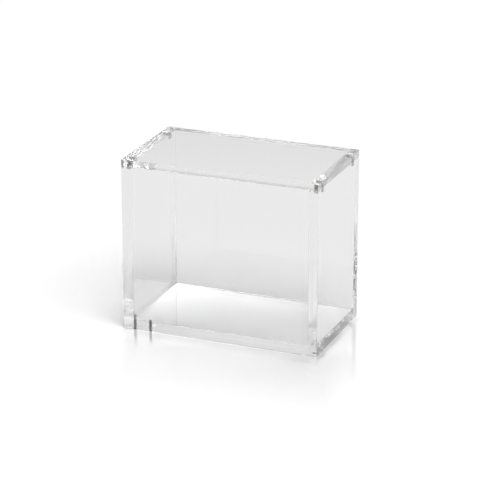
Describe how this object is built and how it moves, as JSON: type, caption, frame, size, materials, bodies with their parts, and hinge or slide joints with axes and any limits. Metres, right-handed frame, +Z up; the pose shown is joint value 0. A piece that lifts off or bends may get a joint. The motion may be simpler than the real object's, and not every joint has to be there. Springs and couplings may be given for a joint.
{
  "type": "clear acrylic storage box with lift-off lid",
  "caption": "Clear open-topped box of bonded acrylic sheet with a flat lift-off lid held at its corners by disc magnets.",
  "frame": {"origin": "centre of the footprint, on the surface the box stands on", "axes": "+Z up, +X to the right along the long front face, +Y from front to back; the front face looks along -Y"},
  "size_m": [0.156, 0.0884, 0.1344],
  "materials": {
    "clear_acrylic": "polished",
    "plated_magnet": "polished"
  },
  "bodies": {
    "box": {"left_panel": "clear_acrylic", "right_panel": "clear_acrylic", "front_panel": "clear_acrylic", "back_panel": "clear_acrylic", "base_panel": "clear_acrylic", "wall_magnet_front_left": "plated_magnet", "wall_magnet_front_right": "plated_magnet", "wall_magnet_back_left": "plated_magnet", "wall_magnet_back_right": "plated_magnet"},
    "lid": {"lid_panel": "clear_acrylic", "lid_magnet_front_left": "plated_magnet", "lid_magnet_front_right": "plated_magnet", "lid_magnet_back_left": "plated_magnet", "lid_magnet_back_right": "plated_magnet"}
  },
  "joints": [
    {"name": "lid_lift", "type": "slide", "parent": "box", "child": "lid", "axis": [0, 0, 1], "range_m": [0, 0.14]}
  ]
}
